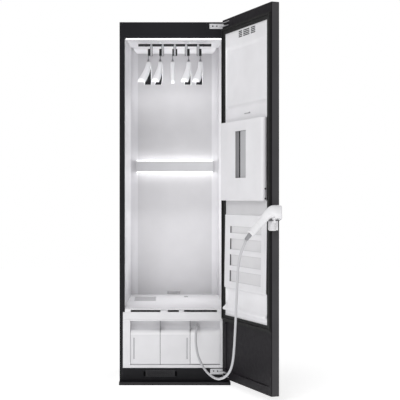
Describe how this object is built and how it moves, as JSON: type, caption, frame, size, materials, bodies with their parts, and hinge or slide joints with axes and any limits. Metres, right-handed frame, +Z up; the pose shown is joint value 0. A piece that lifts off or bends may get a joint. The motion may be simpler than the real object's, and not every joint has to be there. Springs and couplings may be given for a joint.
{
  "type": "clothes care steam cabinet",
  "caption": "Tall garment steaming cabinet with a lit hanging chamber, pull-out water tanks, a hinged door with a trouser press and a handheld steamer on its edge.",
  "frame": {"origin": "on the floor, in the middle of the cabinet front plane", "axes": "+X to the viewer right, +Y to the back, +Z up; the door is stored open by 111 degrees"},
  "size_m": [0.8224, 1.2478, 1.96],
  "materials": {
    "black_paint": "satin",
    "black_plastic": "satin",
    "dark_plastic": "matte",
    "white_plastic": "satin",
    "grey_plastic": "satin",
    "clear_window": "gloss",
    "lamp_diffuser": "matte",
    "zinc_sheet": "satin",
    "compressor_paint": "gloss",
    "exchanger_metal": "satin",
    "generator_metal": "satin",
    "hinge_steel": "satin",
    "clip_chrome": "polished",
    "rubber": "matte",
    "door_glass": "gloss",
    "hose_plastic": "satin",
    "insulation": "matte"
  },
  "bodies": {
    "cabinet": {"base_pan": "zinc_sheet", "plinth": "black_plastic", "foot_left": "rubber", "foot_right": "rubber", "kick_panel": "black_plastic", "kick_cover": "dark_plastic", "side_panel_left": "black_paint", "side_panel_right": "black_paint", "top_cover": "black_plastic", "back_panel": "zinc_sheet", "front_header": "black_paint", "chamber_wall_left": "white_plastic", "chamber_wall_right": "white_plastic", "chamber_back": "white_plastic", "chamber_ceiling": "white_plastic", "chamber_floor": "white_plastic", "ceiling_light": "lamp_diffuser", "light_bar_cover": "white_plastic", "light_bar_diffuser": "lamp_diffuser", "steam_outlet_grille": "grey_plastic", "module_frame": "white_plastic", "hose_socket": "dark_plastic", "hinge_bracket_top": "hinge_steel", "hinge_bracket_bottom": "hinge_steel", "compressor": "compressor_paint", "heat_exchanger": "exchanger_metal", "steam_generator": "generator_metal", "fan_housing": "dark_plastic", "hanger_motor": "zinc_sheet", "steam_hose": "hose_plastic"},
    "door": {"door_frame": "black_plastic", "door_front_panel": "door_glass", "door_insulation": "insulation", "door_liner": "white_plastic", "door_gasket": "rubber", "steamer_holder": "white_plastic", "steam_hose_upper": "hose_plastic"},
    "press_cover": {"press_cover": "white_plastic"},
    "press_latch": {"press_latch": "dark_plastic"},
    "supply_tank": {"supply_tank": "white_plastic", "supply_window": "clear_window"},
    "drain_tank": {"drain_tank": "white_plastic", "drain_window": "clear_window"},
    "steamer_bin": {"steamer_bin": "white_plastic"},
    "lint_filter": {"lint_filter": "grey_plastic"},
    "hanger_bar": {"hanger_bar": "dark_plastic", "hanger_clip_1": "clip_chrome", "hanger_clip_2": "clip_chrome", "hanger_clip_3": "clip_chrome", "hanger_clip_4": "clip_chrome", "hanger_clip_5": "clip_chrome"},
    "steamer": {"steamer_body": "white_plastic", "steam_plate": "grey_plastic"},
    "steamer_button": {"steamer_button": "grey_plastic"},
    "fan_wheel": {"fan_wheel": "dark_plastic"},
    "hanger_1": {"hanger_1": "white_plastic"},
    "hanger_2": {"hanger_2": "white_plastic"},
    "hanger_3": {"hanger_3": "white_plastic"},
    "hanger_4": {"hanger_4": "white_plastic"},
    "hanger_5": {"hanger_5": "white_plastic"}
  },
  "joints": [
    {"name": "door_swing", "type": "hinge", "parent": "cabinet", "child": "door", "pos_m": [0.289, -0.042, 1], "axis": [0, 0, 1], "range_deg": [-111, 9], "deforming": ["steam_hose"]},
    {"name": "press_cover_swing", "type": "hinge", "parent": "door", "child": "press_cover", "pos_m": [0.26915, -0.08711, 1.198], "axis": [0, 0, -1], "range_deg": [0, 90]},
    {"name": "press_latch_slide", "type": "slide", "parent": "press_cover", "child": "press_latch", "axis": [0, 0, 1], "range_m": [0, 0.006]},
    {"name": "supply_tank_slide", "type": "slide", "parent": "cabinet", "child": "supply_tank", "axis": [0, -1, 0], "range_m": [0, 0.26]},
    {"name": "drain_tank_slide", "type": "slide", "parent": "cabinet", "child": "drain_tank", "axis": [0, -1, 0], "range_m": [0, 0.26]},
    {"name": "steamer_bin_tilt", "type": "hinge", "parent": "cabinet", "child": "steamer_bin", "pos_m": [0.165, 0.012, 0.106], "axis": [1, 0, 0], "range_deg": [0, 20]},
    {"name": "lint_filter_lift", "type": "slide", "parent": "cabinet", "child": "lint_filter", "axis": [0, 0, 1], "range_m": [0, 0.08]},
    {"name": "hanger_bar_slide", "type": "slide", "parent": "cabinet", "child": "hanger_bar", "axis": [1, 0, 0], "range_m": [-0.025, 0.025]},
    {"name": "hanger_turn_1", "type": "hinge", "parent": "hanger_bar", "child": "hanger_1", "pos_m": [-0.146, 0.215, 1.8], "axis": [0, 0, 1], "range_deg": [-5, 5]},
    {"name": "hanger_turn_2", "type": "hinge", "parent": "hanger_bar", "child": "hanger_2", "pos_m": [-0.082, 0.215, 1.8], "axis": [0, 0, 1], "range_deg": [-5, 5]},
    {"name": "hanger_turn_3", "type": "hinge", "parent": "hanger_bar", "child": "hanger_3", "pos_m": [-0.014, 0.215, 1.8], "axis": [0, 0, 1], "range_deg": [-5, 5]},
    {"name": "hanger_turn_4", "type": "hinge", "parent": "hanger_bar", "child": "hanger_4", "pos_m": [0.078, 0.215, 1.8], "axis": [0, 0, 1], "range_deg": [-5, 5]},
    {"name": "hanger_turn_5", "type": "hinge", "parent": "hanger_bar", "child": "hanger_5", "pos_m": [0.145, 0.215, 1.8], "axis": [0, 0, 1], "range_deg": [-5, 5]},
    {"name": "steamer_lift", "type": "slide", "parent": "door", "child": "steamer", "axis": [0, 0, 1], "range_m": [0, 0.07], "deforming": ["steam_hose_upper"]},
    {"name": "steamer_button_press", "type": "slide", "parent": "steamer", "child": "steamer_button", "axis": [0.6317, 0.2425, -0.7363], "range_m": [0, 0.0025], "stiffness_N_per_m": 400},
    {"name": "fan_spin", "type": "hinge", "parent": "cabinet", "child": "fan_wheel", "pos_m": [0.18, 0.4425, 0.15], "axis": [0, 1, 0], "continuous": true}
  ]
}
